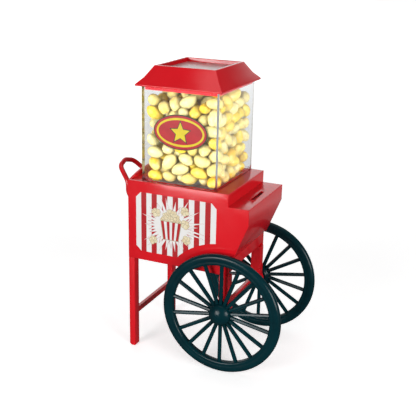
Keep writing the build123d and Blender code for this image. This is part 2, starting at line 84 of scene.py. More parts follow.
def blank_material(name):
    """A material with a Principled shader, ready for its colour."""
    material = bpy.data.materials.new(name)
    material.use_nodes = True
    return material, material.node_tree, material.node_tree.nodes["Principled BSDF"]


def mottle(tree, shader, colours, grain, spread=(0.35, 0.65)):
    """A soft drift between two colours over the piece."""
    place = node(tree, "ShaderNodeTexCoord", -900, 300)
    cloud = node(tree, "ShaderNodeTexNoise", -700, 300)
    cloud.inputs["Scale"].default_value = grain
    cloud.inputs["Detail"].default_value = 3
    ramp = node(tree, "ShaderNodeValToRGB", -450, 300)
    for stop, at, colour in zip(ramp.color_ramp.elements, spread, colours):
        stop.position = at
        stop.color = colour
    tree.links.new(place.outputs["Object"], cloud.inputs["Vector"])
    tree.links.new(cloud.outputs["Fac"], ramp.inputs["Fac"])
    tree.links.new(ramp.outputs["Color"], shader.inputs["Base Color"])
    return place


def uneven_gloss(tree, shader, place, grain, low, high):
    """Roughness that varies between two values, as a handled surface's does."""
    smear = node(tree, "ShaderNodeTexNoise", -700, 0)
    smear.inputs["Scale"].default_value = grain
    smear.inputs["Detail"].default_value = 4
    band = map_range(tree, -450, 0, (0.3, 0.7, low, high))
    tree.links.new(place.outputs["Object"], smear.inputs["Vector"])
    tree.links.new(smear.outputs["Fac"], band.inputs["Value"])
    tree.links.new(band.outputs["Result"], shader.inputs["Roughness"])


def ripple(tree, shader, place, grain, height, strength):
    """A shallow bump: moulding ripple, paper tooth or drawn metal, by its grain."""
    wave = node(tree, "ShaderNodeTexNoise", -700, -300)
    wave.inputs["Scale"].default_value = grain
    wave.inputs["Detail"].default_value = 2
    bump = node(tree, "ShaderNodeBump", -450, -300)
    bump.inputs["Strength"].default_value = strength
    bump.inputs["Distance"].default_value = height
    tree.links.new(place.outputs["Object"], wave.inputs["Vector"])
    tree.links.new(wave.outputs["Fac"], bump.inputs["Height"])
    tree.links.new(bump.outputs["Normal"], shader.inputs["Normal"])


def moulded(name, colours, gloss, grain=18, wave=45, height=0.25 * MM, strength=0.12, **finish):
    """Moulded plastic: colour drift, uneven gloss, ripple and any further shader values."""
    material, tree, shader = blank_material(name)
    place = mottle(tree, shader, colours, grain)
    uneven_gloss(tree, shader, place, grain * 2.5, *gloss)
    ripple(tree, shader, place, wave, height, strength)
    shader.inputs["IOR"].default_value = 1.5
    for socket, value in finish.items():
        shader.inputs[socket].default_value = value
    return material


RED_SKIN = {"Coat Weight": 0.08, "Coat Roughness": 0.06}
red_plastic = moulded("red_gloss_styrene", (RED_DEEP, RED), (0.12, 0.24), **RED_SKIN)


def new_piece(name, mesh, material, body, stands_for=()):
    """A finished piece in the scene, on its body and in its material slot."""
    piece = bpy.data.objects.new(name, mesh)
    bpy.context.scene.collection.objects.link(piece)
    mesh.materials.clear()
    mesh.materials.append(material)
    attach(piece, body)
    if stands_for:
        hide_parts(*stands_for)
    return piece


def clean_copy(name):
    """A CAD node's mesh as whole flat faces, in an open bmesh."""
    work = bmesh.new()
    work.from_mesh(nodes[name].data)
    bmesh.ops.remove_doubles(work, verts=work.verts, dist=SAME_POINT)
    bmesh.ops.dissolve_limit(work, angle_limit=radians(0.8), verts=work.verts, edges=work.edges)
    return work


def rounded(name, width, chosen, material, segments=3, least=25):
    """A copy of a CAD node whose chosen convex edges are rounded, in place of the node."""
    work = clean_copy(name)
    weight = work.edges.layers.float.new("bevel_weight_edge")
    for edge in work.edges:
        if len(edge.link_faces) == 2 and edge.is_convex and edge.calc_face_angle() > radians(least):
            if chosen(edge):
                edge[weight] = 1
    mesh = bpy.data.meshes.new(name + "_finished")
    work.to_mesh(mesh)
    work.free()
    piece = new_piece(name + "_finished", mesh, material, body_of[name], [name])
    bevel = piece.modifiers.new("rounded edges", "BEVEL")
    bevel.limit_method = "WEIGHT"
    bevel.width = width
    bevel.segments = segments
    bevel.harden_normals = False
    mesh.shade_smooth()
    split = piece.modifiers.new("keep flats flat", "EDGE_SPLIT")
    split.split_angle = radians(32)
    return piece


def runs_across(edge, least=0.08):
    """True for an edge that runs the whole width of the cart."""
    a, b = (vert.co for vert in edge.verts)
    return abs(a.y - b.y) > least and abs(a.x - b.x) < ON_PLANE and abs(a.z - b.z) < ON_PLANE


def length(edge):
    """How long an edge is."""
    return (edge.verts[0].co - edge.verts[1].co).length


def repaint(name, material):
    """A CAD node keeps its mesh and takes a new finish."""
    nodes[name].data.materials.clear()
    nodes[name].data.materials.append(material)


half_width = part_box("far_side_panel")[1][1]
body_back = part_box("near_side_panel")[0][0]
deck_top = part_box("deck_plate")[1][2]


SHELF_DROP = 12 * MM
SLOT_REACH = 15 * MM
shelf_z = deck_top - SHELF_DROP


def on_outer_side(edge):
    """True for an edge of a side panel's outer face."""
    return max(abs(vert.co.y) for vert in edge.verts) > half_width - 2 * ON_PLANE


def on_deck_ends(edge):
    """The deck's top edges across its front and back."""
    return runs_across(edge) and edge.verts[0].co.z > deck_top - ON_PLANE


def on_nose(edge):
    """The nose's long outside corners, and the rim of the coin slot in its shelf."""
    long_corner = runs_across(edge) and max(vert.co.z for vert in edge.verts) < deck_top - 3 * MM
    slot_rim = all(
        abs(vert.co.z - shelf_z) < ON_PLANE and abs(vert.co.y) < SLOT_REACH for vert in edge.verts
    )
    return long_corner or slot_rim


def on_crest(edge):
    """The back panel's arched top, where it stands above the deck."""
    return min(vert.co.z for vert in edge.verts) > deck_top + 0.1 * MM


for side_name in ("near", "far"):
    rounded(side_name + "_side_panel", WALL_EDGE, on_outer_side, red_plastic)
rounded("deck_plate", WALL_EDGE, on_deck_ends, red_plastic)
rounded("nose_cover", WALL_EDGE, on_nose, red_plastic)
rounded("drawer_front", 0.3 * MM, lambda edge: True, red_plastic)
rounded("back_panel", 0.5 * MM, on_crest, red_plastic)
for plain_red in ("bottom_cover", "bean_drawer"):
    repaint(plain_red, red_plastic)


# ---- legs, braces and handle ---------------------------------------------------------------
# Square posts of the same red plastic, softly rounded along their length.  The front pair end
# in an eye round the axle, and a bent round rod at the back serves as the push handle.
POST_EDGE = 0.7 * MM

for leg in ("near_back_leg", "far_back_leg", "near_front_leg", "far_front_leg"):
    rounded(leg, POST_EDGE, lambda edge: length(edge) > 5 * MM, red_plastic)
for brace in ("back_leg_brace", "front_leg_brace"):
    rounded(brace, POST_EDGE, runs_across, red_plastic)

repaint("push_handle", red_plastic)
handle_weld = nodes["push_handle"].modifiers.new("one skin", "WELD")
handle_weld.merge_threshold = SAME_POINT


# ---- striped labels ------------------------------------------------------------------------
# A paper label is stuck on each side: upright red stripes on white, with a burst, a striped
# tub of popcorn and a few loose kernels printed over them.  Each ink is a skin of its own.
INK_STEP = 0.025 * MM
STRIPES = 15
BURST_RAYS = 34
BURST_REACH = (31 * MM, 28 * MM)
BURST_CORE = (17.5 * MM, 14.5 * MM)
RAY_LENGTHS = (0.78, 0.92, 1.15)
PRINT_EDGE = 6 * MM
PRINT_LOW = 108 * MM
PRINT_HIGH = 164.5 * MM
ARCH_CLEAR = 69.5 * MM
PAPER = (0.86, 0.85, 0.84, 1)
PAPER_WARM = (0.83, 0.81, 0.79, 1)
INK_RED = (0.52, 0.006, 0.012, 1)
INK_RED_DARK = (0.40, 0.004, 0.009, 1)
INK_CREAM = (0.86, 0.79, 0.58, 1)
INK_CREAM_DARK = (0.72, 0.58, 0.33, 1)
INK_GREY = (0.42, 0.33, 0.20, 1)
KERNELS = ((30.5, 148.0), (61.0, 153.0), (61.5, 140.5), (27.5, 119.5), (63.0, 125.0))


def printed(name, colours, grain=140):
    """Satin ink or paper: a fine mottle and a little tooth."""
    material, tree, shader = blank_material(name)
    place = mottle(tree, shader, colours, grain, (0.3, 0.7))
    uneven_gloss(tree, shader, place, 60, 0.3, 0.42)
    ripple(tree, shader, place, 900, 0.02 * MM, 0.15)
    return material


def stripe_material(name, low, high):
    """Paper with upright red stripes across the length of the label, white at both ends."""
    material, tree, shader = blank_material(name)
    place = mottle(tree, shader, (PAPER_WARM, PAPER), 140, (0.3, 0.7))
    white = tree.nodes["Color Ramp"]
    along = node(tree, "ShaderNodeSeparateXYZ", -900, 600)
    count = map_range(tree, -700, 600, (low, high, 0, STRIPES / 2), clamp=False)
    part = node(tree, "ShaderNodeMath", -500, 600, operation="FRACT")
    red_half = node(tree, "ShaderNodeMath", -300, 600, operation="GREATER_THAN")
    red_half.inputs[1].default_value = 0.5
    grain = node(tree, "ShaderNodeTexNoise", -500, 900)
    grain.inputs["Scale"].default_value = 160
    ink = node(tree, "ShaderNodeValToRGB", -300, 900)
    ink.color_ramp.elements[0].color = INK_RED_DARK
    ink.color_ramp.elements[1].color = INK_RED
    both = node(tree, "ShaderNodeMix", -100, 500, data_type="RGBA")
    tree.links.new(place.outputs["Object"], along.inputs["Vector"])
    tree.links.new(place.outputs["Object"], grain.inputs["Vector"])
    tree.links.new(grain.outputs["Fac"], ink.inputs["Fac"])
    tree.links.new(along.outputs["X"], count.inputs["Value"])
    tree.links.new(count.outputs["Result"], part.inputs[0])
    tree.links.new(part.outputs["Value"], red_half.inputs[0])
    tree.links.new(red_half.outputs["Value"], both.inputs["Factor"])
    tree.links.new(white.outputs["Color"], both.inputs["A"])
    tree.links.new(ink.outputs["Color"], both.inputs["B"])
    tree.links.new(both.outputs["Result"], shader.inputs["Base Color"])
    uneven_gloss(tree, shader, place, 60, 0.28, 0.4)
    ripple(tree, shader, place, 900, 0.02 * MM, 0.15)
    return material


label_low, label_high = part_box("near_label")
stripes = stripe_material("striped_label_print", label_low[0], label_high[0])
ink_white = printed("white_label_ink", (PAPER_WARM, PAPER))
ink_red = printed("red_label_ink", (INK_RED_DARK, INK_RED))
ink_cream = printed("cream_label_ink", (INK_CREAM_DARK, INK_CREAM), 420)
ink_grey = printed("brown_label_ink", (INK_GREY, INK_GREY))
burst_centre = (body_back + 46.5 * MM, 136.5 * MM)
axle_low, axle_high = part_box("axle")
axle_x = (axle_low[0] + axle_high[0]) / 2
axle_z = (axle_low[2] + axle_high[2]) / 2


def skin(work, outline, face_y, out, level):
    """A flat inked shape: a thin closed plate that stands on a face at y = face_y."""
    near = [work.verts.new((x, face_y, z)) for x, z in outline]
    far = [work.verts.new((x, face_y + out * INK_STEP * level, z)) for x, z in outline]
    work.faces.new(near)
    work.faces.new(far[::-1])
    for i in range(len(outline)):
        j = (i + 1) % len(outline)
        work.faces.new((near[i], far[i], far[j], near[j]))


def finish_print(work, name, material, body):
    """The printed shapes of one ink, as a finished piece."""
    bmesh.ops.recalc_face_normals(work, faces=work.faces)
    mesh = bpy.data.meshes.new(name)
    work.to_mesh(mesh)
    work.free()
    return new_piece(name, mesh, material, body)


def on_label(x, z):
    """True where the label has paper: clear of the wheel arch and of its edges."""
    clear = (x - axle_x) ** 2 + (z - axle_z) ** 2 > ARCH_CLEAR**2
    within = label_low[0] + PRINT_EDGE < x < label_high[0] - PRINT_EDGE
    return clear and within and PRINT_LOW < z < PRINT_HIGH


def burst(grow):
    """The burst's outline: long and short rays by turns, cut short at the label's edge."""
    lengths = Random(11)
    outline = []
    for ray in range(BURST_RAYS):
        for tip in (0, 1):
            angle = tau * (ray + tip * lengths.uniform(0.3, 0.7)) / BURST_RAYS
            stretch = lengths.choice(RAY_LENGTHS)
            reach = BURST_REACH if tip else BURST_CORE
            scale = stretch if tip else 1
            while True:
                x = burst_centre[0] + (reach[0] * scale + grow) * cos(angle)
                z = burst_centre[1] + (reach[1] * scale + grow) * sin(angle)
                if not tip or on_label(x, z) or scale < 0.5:
                    break
                scale -= 0.03
            outline.append((x, z))
    return outline


def disc(x, z, radius, corners=14):
    """A round dot's outline."""
    turns = [tau * i / corners for i in range(corners)]
    return [(x + radius * cos(t), z + radius * sin(t)) for t in turns]


def puffs(x, z, size, seed):
    """A popped kernel: a ring of lobes round a middle one."""
    turn = Random(seed)
    start = turn.uniform(0, tau)
    lobes = [(x, z, 0.52 * size)]
    for lobe in range(5):
        angle = start + tau * lobe / 5 + turn.uniform(-0.2, 0.2)
        reach = size * turn.uniform(0.42, 0.58)
        lobes.append((x + reach * cos(angle), z + reach * sin(angle), size * turn.uniform(0.4, 0.52)))
    return lobes


TUB_TOP = 10.5 * MM
TUB_FOOT = 7.6 * MM
TUB_HIGH = 4.0 * MM
TUB_LOW = -14.0 * MM
TUB_STRIPES = 7
KERNEL_SIZE = 4.6 * MM
HEAP_SIZE = 3.6 * MM
LOBE_LEVEL = 3.0
LOBE_STEP = 0.1
LOBE_LINE = 0.3 * MM
HEAP = ((-8, 5), (-3, 6), (3, 6), (8, 5), (-5.5, 9.5), (0, 10), (5.5, 9.5), (-1.5, 13), (3, 12.5))

tub_x, tub_z = burst_centre
kernel_lobes = [
    puffs(body_back + u * MM, z * MM, KERNEL_SIZE, 20 + i) for i, (u, z) in enumerate(KERNELS)
]
heap_lobes = [
    puffs(tub_x + u * MM, tub_z + z * MM, HEAP_SIZE, 40 + i) for i, (u, z) in enumerate(HEAP)
]


def tub_slice(low, high, grow=0.0):
    """A stripe of the tub between two shares of its width."""
    top, foot = TUB_TOP + grow, TUB_FOOT + grow
    return [
        (tub_x + top * (2 * low - 1), tub_z + TUB_HIGH + grow),
        (tub_x + foot * (2 * low - 1), tub_z + TUB_LOW - grow),
        (tub_x + foot * (2 * high - 1), tub_z + TUB_LOW - grow),
        (tub_x + top * (2 * high - 1), tub_z + TUB_HIGH + grow),
    ]


for side_name, out in (("near", -1), ("far", 1)):
    label = side_name + "_label"
    repaint(label, stripes)
    face_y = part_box(label)[0][1] if out < 0 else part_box(label)[1][1]
    slot = slot_of[label]
    body = body_of[label]

    red_burst = bmesh.new()
    skin(red_burst, burst(0.9 * MM), face_y, out, 1)
    finish_print(red_burst, side_name + "_label_burst_edge", ink_red, body)

    white_burst = bmesh.new()
    skin(white_burst, burst(0), face_y, out, 2)
    finish_print(white_burst, side_name + "_label_burst", ink_white, body)

    # each lobe lies over the one before it, so that its outline shows
    outlines = bmesh.new()
    cream = bmesh.new()
    for group in (sum(kernel_lobes, []), sum(heap_lobes, [])):
        for i, (x, z, radius) in enumerate(group):
            level = LOBE_LEVEL + LOBE_STEP * i
            skin(outlines, disc(x, z, radius + LOBE_LINE), face_y, out, level)
            skin(cream, disc(x, z, radius), face_y, out, level + LOBE_STEP / 2)
    top_level = LOBE_LEVEL + LOBE_STEP * (len(sum(heap_lobes, [])) + 1)
    skin(outlines, tub_slice(0, 1, 0.5 * MM), face_y, out, top_level)
    finish_print(outlines, side_name + "_label_outlines", ink_grey, body)
    finish_print(cream, side_name + "_label_kernels", ink_cream, body)

    tub_white = bmesh.new()
    tub_red = bmesh.new()
    for stripe in range(TUB_STRIPES):
        target = tub_white if stripe % 2 else tub_red
        share = (stripe / TUB_STRIPES, (stripe + 1) / TUB_STRIPES)
        skin(target, tub_slice(*share), face_y, out, top_level + 1)
    finish_print(tub_white, side_name + "_label_tub_white", ink_white, body)
    finish_print(tub_red, side_name + "_label_tub_red", ink_red, body)


# ---- wheels --------------------------------------------------------------------------------
# Each wheel is one moulding in green-black plastic: a rim with a bead along each side, ridged
# spokes that swell at both ends, and a hub with a collar.  A domed cap snaps on the hub.
SPOKES = 18
RIM_INNER = 49.5 * MM
HUB_RADIUS = 10.4 * MM
WHEEL_MIDDLE = 53.2 * MM
WHEEL_DARK = (0.0003, 0.018, 0.024, 1)
WHEEL_TEAL = (0.0006, 0.028, 0.036, 1)
LATHE_STEPS = 96

# (radius, distance from the wheel's mid-plane), for one side of the rim; the other mirrors it
RIM_SIDE = (
    (49.5, 1.9), (49.8, 2.8), (50.6, 3.35), (51.8, 3.5), (52.6, 3.25), (53.2, 3.25),
    (54.0, 3.6), (57.0, 3.6), (58.3, 3.2), (59.4, 2.2), (60.0, 0.9),
)
# (radius, distance out from the cart's middle) round the hub's section
HUB_LOOP = (
    (2.56, 47.5), (8.4, 47.5), (9.0, 48.1), (9.0, 49.4), (9.9, 50.0), (10.4, 50.6),
    (10.4, 57.6), (9.9, 58.2), (8.3, 58.2), (8.3, 55.8), (2.56, 55.8),
)

WHEEL_SKIN = {"Specular IOR Level": 0.22}
wheel_plastic = moulded("green_black_gloss", (WHEEL_DARK, WHEEL_TEAL), (0.16, 0.28), 30, 60, **WHEEL_SKIN)


def lathe(work, loop, steps=LATHE_STEPS):
    """A closed section of (radius, y) turned about the Y axis."""
    rings = []
    for step in range(steps):
        angle = tau * step / steps
        rings.append([work.verts.new((r * sin(angle), y, r * cos(angle))) for r, y in loop])
    for i, ring in enumerate(rings):
        after = rings[(i + 1) % steps]
        for j in range(len(loop)):
            k = (j + 1) % len(loop)
            work.faces.new((ring[j], ring[k], after[k], after[j]))


def spoke_tree():
    """Adds ridged spokes between hub and rim to the turned parts."""
    tree = bpy.data.node_groups.new("wheel spokes", "GeometryNodeTree")
    face = tree.interface
    face.new_socket("Geometry", in_out="INPUT", socket_type="NodeSocketGeometry")
    face.new_socket("Spokes", in_out="INPUT", socket_type="NodeSocketInt")
    for size in ("Hub radius", "Rim radius", "Width", "Depth", "Middle"):
        face.new_socket(size, in_out="INPUT", socket_type="NodeSocketFloat")
    face.new_socket("Centre", in_out="INPUT", socket_type="NodeSocketVector")
    face.new_socket("Material", in_out="INPUT", socket_type="NodeSocketMaterial")
    face.new_socket("Geometry", in_out="OUTPUT", socket_type="NodeSocketGeometry")
    given = node(tree, "NodeGroupInput", -1200, 0)
    link = tree.links.new

    inner_end = node(tree, "ShaderNodeCombineXYZ", -1000, 300)
    outer_end = node(tree, "ShaderNodeCombineXYZ", -1000, 150)
    line = node(tree, "GeometryNodeCurvePrimitiveLine", -800, 300)
    finer = node(tree, "GeometryNodeResampleCurve", -620, 300)
    finer.inputs["Count"].default_value = 11
    link(given.outputs["Hub radius"], inner_end.inputs["Z"])
    link(given.outputs["Rim radius"], outer_end.inputs["Z"])
    link(given.outputs["Middle"], inner_end.inputs["Y"])
    link(given.outputs["Middle"], outer_end.inputs["Y"])
    link(inner_end.outputs[0], line.inputs["Start"])
    link(outer_end.outputs[0], line.inputs["End"])
    link(line.outputs["Curve"], finer.inputs["Curve"])

    # a spoke is thickest where it meets the hub and the rim
    share = node(tree, "GeometryNodeSplineParameter", -800, 0)
    middle_out = map_range(tree, -620, 0, (0, 1, -1, 1), clamp=False)
    power = node(tree, "ShaderNodeMath", -440, 0, operation="POWER")
    power.inputs[1].default_value = 8
    swell = node(tree, "ShaderNodeMath", -280, 0, operation="MULTIPLY_ADD")
    swell.inputs[1].default_value = 0.55
    swell.inputs[2].default_value = 1
    taper = node(tree, "GeometryNodeSetCurveRadius", -120, 300)
    link(share.outputs["Factor"], middle_out.inputs["Value"])
    link(middle_out.outputs["Result"], power.inputs[0])
    link(power.outputs[0], swell.inputs[0])
    link(finer.outputs["Curve"], taper.inputs["Curve"])
    link(swell.outputs[0], taper.inputs["Radius"])

    section = node(tree, "GeometryNodeCurvePrimitiveCircle", -620, -250)
    section.inputs["Resolution"].default_value = 8
    section.inputs["Radius"].default_value = 0.5
    flat = node(tree, "ShaderNodeCombineXYZ", -620, -450)
    flat.inputs["Z"].default_value = 1
    squeezed = node(tree, "GeometryNodeTransform", -400, -250)
    link(given.outputs["Width"], flat.inputs["X"])
    link(given.outputs["Depth"], flat.inputs["Y"])
    link(section.outputs["Curve"], squeezed.inputs["Geometry"])
    link(flat.outputs[0], squeezed.inputs["Scale"])

    spoke = node(tree, "GeometryNodeCurveToMesh", 80, 300)
    spoke.inputs["Fill Caps"].default_value = True
    link(taper.outputs["Curve"], spoke.inputs["Curve"])
    link(squeezed.outputs["Geometry"], spoke.inputs["Profile Curve"])

    points = node(tree, "GeometryNodePoints", 80, 0)
    number = node(tree, "GeometryNodeInputIndex", -280, -300)
    step = node(tree, "ShaderNodeMath", -280, -450, operation="DIVIDE")
    step.inputs[0].default_value = tau
    angle = node(tree, "ShaderNodeMath", -80, -350, operation="MULTIPLY")
    turn = node(tree, "ShaderNodeCombineXYZ", 80, -350)
    place = node(tree, "GeometryNodeInstanceOnPoints", 280, 200)
    link(given.outputs["Spokes"], points.inputs["Count"])
    link(given.outputs["Spokes"], step.inputs[1])
    link(number.outputs[0], angle.inputs[0])
    link(step.outputs[0], angle.inputs[1])
    link(angle.outputs[0], turn.inputs["Y"])
    link(points.outputs[0], place.inputs["Points"])
    link(spoke.outputs["Mesh"], place.inputs["Instance"])
    link(turn.outputs[0], place.inputs["Rotation"])

    all_parts = node(tree, "GeometryNodeJoinGeometry", 460, 100)
    moved = node(tree, "GeometryNodeTransform", 620, 100)
    real = node(tree, "GeometryNodeRealizeInstances", 780, 100)
    coated = node(tree, "GeometryNodeSetMaterial", 940, 100)
    result = node(tree, "NodeGroupOutput", 1100, 100)
    link(place.outputs["Instances"], all_parts.inputs["Geometry"])
    link(given.outputs["Geometry"], all_parts.inputs["Geometry"])
    link(all_parts.outputs["Geometry"], moved.inputs["Geometry"])
    link(given.outputs["Centre"], moved.inputs["Translation"])
    link(moved.outputs["Geometry"], real.inputs["Geometry"])
    link(real.outputs["Geometry"], coated.inputs["Geometry"])
    link(given.outputs["Material"], coated.inputs["Material"])
    link(coated.outputs["Geometry"], result.inputs["Geometry"])
    return tree


def grown(name, start_mesh, tree, **inputs):
    """The plain mesh that a geometry tree makes from a start mesh."""
    maker = bpy.data.objects.new(name + "_maker", start_mesh)
    bpy.context.scene.collection.objects.link(maker)
    modifier = maker.modifiers.new("grow", "NODES")
    modifier.node_group = tree
    sockets = {item.name: item.identifier for item in tree.interface.items_tree if item.in_out == "INPUT"}
    for key, value in inputs.items():
        modifier[sockets[key.replace("_", " ").capitalize()]] = value
    bpy.context.view_layer.update()
    ready = maker.evaluated_get(bpy.context.evaluated_depsgraph_get())
    mesh = bpy.data.meshes.new_from_object(ready)
    mesh.name = name
    maker.modifiers.remove(modifier)
    bpy.data.objects.remove(maker)
    return mesh


spokes = spoke_tree()
for side_name, out in (("near", -1), ("far", 1)):
    turned = bmesh.new()
    rim = [(r * MM, (WHEEL_MIDDLE + y * MM) * out) for r, y in RIM_SIDE]
    rim += [(r * MM, (WHEEL_MIDDLE - y * MM) * out) for r, y in reversed(RIM_SIDE)]
    lathe(turned, rim)
    lathe(turned, [(r * MM, y * MM * out) for r, y in HUB_LOOP], 64)
    bmesh.ops.recalc_face_normals(turned, faces=turned.faces)
    start = bpy.data.meshes.new(side_name + "_wheel_turned")
    turned.to_mesh(start)
    turned.free()
    wheel_mesh = grown(
        side_name + "_wheel_moulding",
        start,
        spokes,
        spokes=SPOKES,
        hub_radius=HUB_RADIUS - 1 * MM,
        rim_radius=RIM_INNER + 0.8 * MM,
        width=4.0 * MM,
        depth=4.3 * MM,
        middle=WHEEL_MIDDLE * out,
        centre=(axle_x, 0, axle_z),
        material=wheel_plastic,
    )
    name = side_name + "_wheel"
    piece = new_piece(name + "_moulding", wheel_mesh, wheel_plastic, body_of[name], [name])
    wheel_mesh.shade_smooth()
    split = piece.modifiers.new("keep edges", "EDGE_SPLIT")
    split.split_angle = radians(42)
    cap = side_name + "_hub_cap"
    rounded(cap, 0.25 * MM, lambda edge: True, wheel_plastic, 2, 40)


# ---- clear hopper and its emblem -----------------------------------------------------------
# The hopper is clear moulded styrene, thicker at its foot.  A printed oval emblem with a ring
# and a star is stuck on its near wall.
OFTEN = 3.5


def bounced_often(tree, rays, x, y):
    """1 for a ray that has already bounced more than OFTEN times, else 0."""
    often = node(tree, "ShaderNodeMath", x, y, operation="GREATER_THAN")
    often.inputs[1].default_value = OFTEN
    tree.links.new(rays.outputs["Ray Depth"], often.inputs[0])
    return often


def clear_styrene():
    """Polished clear plastic, bright in its corners.

    Lamp light passes straight through it, and so does a ray that has bounced often inside.
    """
    material, tree, shader = blank_material("clear_styrene")
    shader.inputs["Base Color"].default_value = (0.965, 0.975, 0.98, 1)
    shader.inputs["Transmission Weight"].default_value = 0.995
    shader.inputs["IOR"].default_value = 1.34
    place = node(tree, "ShaderNodeTexCoord", -900, 0)
    uneven_gloss(tree, shader, place, 25, 0.0, 0.035)
    ripple(tree, shader, place, 22, 0.12 * MM, 0.06)
    rays = node(tree, "ShaderNodeLightPath", 100, 400)
    straight = node(tree, "ShaderNodeBsdfTransparent", 100, 100)
    straight.inputs["Color"].default_value = (0.95, 0.96, 0.97, 1)
    often = bounced_often(tree, rays, 100, 600)
    straight_on = node(tree, "ShaderNodeMath", 230, 500, operation="MAXIMUM")
    choose = node(tree, "ShaderNodeMixShader", 350, 200)
    link = tree.links.new
    link(often.outputs[0], straight_on.inputs[0])
    link(rays.outputs["Is Shadow Ray"], straight_on.inputs[1])
    link(straight_on.outputs[0], choose.inputs["Fac"])
    link(shader.outputs["BSDF"], choose.inputs[1])
    link(straight.outputs["BSDF"], choose.inputs[2])
    link(choose.outputs["Shader"], tree.nodes["Material Output"].inputs["Surface"])
    return material


repaint("hopper_box", clear_styrene())

OUTLINE_INK = (0.004, 0.03, 0.022, 1)
YELLOW_INK = (0.86, 0.72, 0.012, 1)
YELLOW_INK_DEEP = (0.78, 0.58, 0.008, 1)
EMBLEM_RED = (0.56, 0.008, 0.018, 1)
EMBLEM_RED_DEEP = (0.46, 0.006, 0.014, 1)
STAR_DROP = 0.5 * MM
ink_outline = printed("dark_green_ink", (OUTLINE_INK, OUTLINE_INK))
ink_yellow = printed("yellow_ink", (YELLOW_INK_DEEP, YELLOW_INK))
ink_emblem = printed("emblem_red_ink", (EMBLEM_RED_DEEP, EMBLEM_RED))

repaint("hopper_emblem", ink_outline)
emblem_low, emblem_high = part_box("hopper_emblem")
emblem_x = (emblem_low[0] + emblem_high[0]) / 2
emblem_z = (emblem_low[2] + emblem_high[2]) / 2
emblem_half = ((emblem_high[0] - emblem_low[0]) / 2, (emblem_high[2] - emblem_low[2]) / 2)


def oval(inset, corners=72):
    """An oval that follows the emblem's edge at a distance."""
    a, b = (half - inset for half in emblem_half)
    turns = [tau * i / corners for i in range(corners)]
    return [(emblem_x + a * cos(t), emblem_z + b * sin(t)) for t in turns]


def star(size, points=5, waist=0.46):
    """A plain star, one point up."""
    outline = []
    for i in range(2 * points):
        reach = size if i % 2 == 0 else size * waist
        angle = pi / 2 + pi * i / points
        outline.append((emblem_x + reach * cos(angle), emblem_z - STAR_DROP + reach * sin(angle)))
    return outline


def oval_ring(work, outer, inner, face_y, out, level):
    """A closed band between two ovals."""
    corners = len(outer)
    lift = face_y + out * INK_STEP * level
    low_out, high_out, low_in, high_in = (
        [work.verts.new((x, y, z)) for x, z in line] for line in (outer, inner) for y in (face_y, lift)
    )
    for i in range(corners):
        j = (i + 1) % corners
        work.faces.new((low_out[i], low_out[j], low_in[j], low_in[i]))
        work.faces.new((high_out[i], high_out[j], high_in[j], high_in[i]))
        work.faces.new((low_out[i], low_out[j], high_out[j], high_out[i]))
        work.faces.new((low_in[i], low_in[j], high_in[j], high_in[i]))


emblem_y = emblem_low[1]
emblem_body = body_of["hopper_emblem"]
field = bmesh.new()
skin(field, oval(0.9 * MM), emblem_y, -1, 1)
finish_print(field, "emblem_field", ink_emblem, emblem_body)
band = bmesh.new()
oval_ring(band, oval(3.0 * MM), oval(5.0 * MM), emblem_y, -1, 2)
skin(band, star(10.0 * MM), emblem_y, -1, 3)
finish_print(band, "emblem_ring_and_star", ink_yellow, emblem_body)
star_edge = bmesh.new()
skin(star_edge, star(11.7 * MM), emblem_y, -1, 2)
finish_print(star_edge, "emblem_star_edge", ink_outline, emblem_body)


# ---- candy ---------------------------------------------------------------------------------
# The hopper is full of sugar-shelled candies in cream and yellow, spotted like buttered
# popcorn.  They are dropped in and left to settle, and a layer lies in the drawer's cup.
CANDY_LENGTH = 17.6 * MM
CANDY_WIDTH = 11.8 * MM
CANDY_COUNT = 310
CUP_COUNT = 11
SETTLE_FRAMES = 110
SETTLE_SCALE = 100.0
INSIDE_SKIRT = 11.5 * MM
HEAP_RISE = 3 * MM
UNDER_SKIRT = 5.8 * MM
UNDER_RIM = 5.0 * MM
CREAM = (0.75, 0.61, 0.20, 1)
PALE = (0.77, 0.67, 0.31, 1)
BUTTER = (0.80, 0.56, 0.025, 1)
SPOT = (0.80, 0.48, 0.005, 1)

hopper_low, hopper_high = (Vector(corner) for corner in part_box("hopper_box"))
hopper_wall = 2.5 * MM
skirt_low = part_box("lid_roof")[0][2]


def candy_shape():
    """One candy, along X: an egg-shaped body, a little bent and blunt at its ends."""
    work = bmesh.new()
    bmesh.ops.create_uvsphere(work, u_segments=12, v_segments=9, radius=0.5)
    for vert in work.verts:
        x, y, z = vert.co.z, vert.co.x, vert.co.y
        full = 1 + 0.10 * (1 - (2 * x) ** 2)
        width = CANDY_WIDTH * full / 1.1
        bend = -0.07 * CANDY_LENGTH * (2 * x) ** 2
        vert.co = (x * CANDY_LENGTH, y * width, z * width * 0.94 + bend + 0.03 * CANDY_LENGTH)
    bmesh.ops.recalc_face_normals(work, faces=work.faces)
    mesh = bpy.data.meshes.new("candy_shape")
    work.to_mesh(mesh)
    work.free()
    mesh.shade_smooth()
    return mesh


def wall_block(low, high):
    """A fixed wall for the settling, in centimetres."""
    work = bmesh.new()
    bmesh.ops.create_cube(work, size=1)
    middle = (low + high) / 2 * SETTLE_SCALE
    size = (high - low) * SETTLE_SCALE
    for vert in work.verts:
        vert.co = Vector(vert.co[i] * size[i] for i in range(3))
    mesh = bpy.data.meshes.new("settle_wall")
    work.to_mesh(mesh)
    work.free()
    wall = bpy.data.objects.new("settle_wall", mesh)
    wall.location = middle
    bpy.context.scene.collection.objects.link(wall)
    return wall


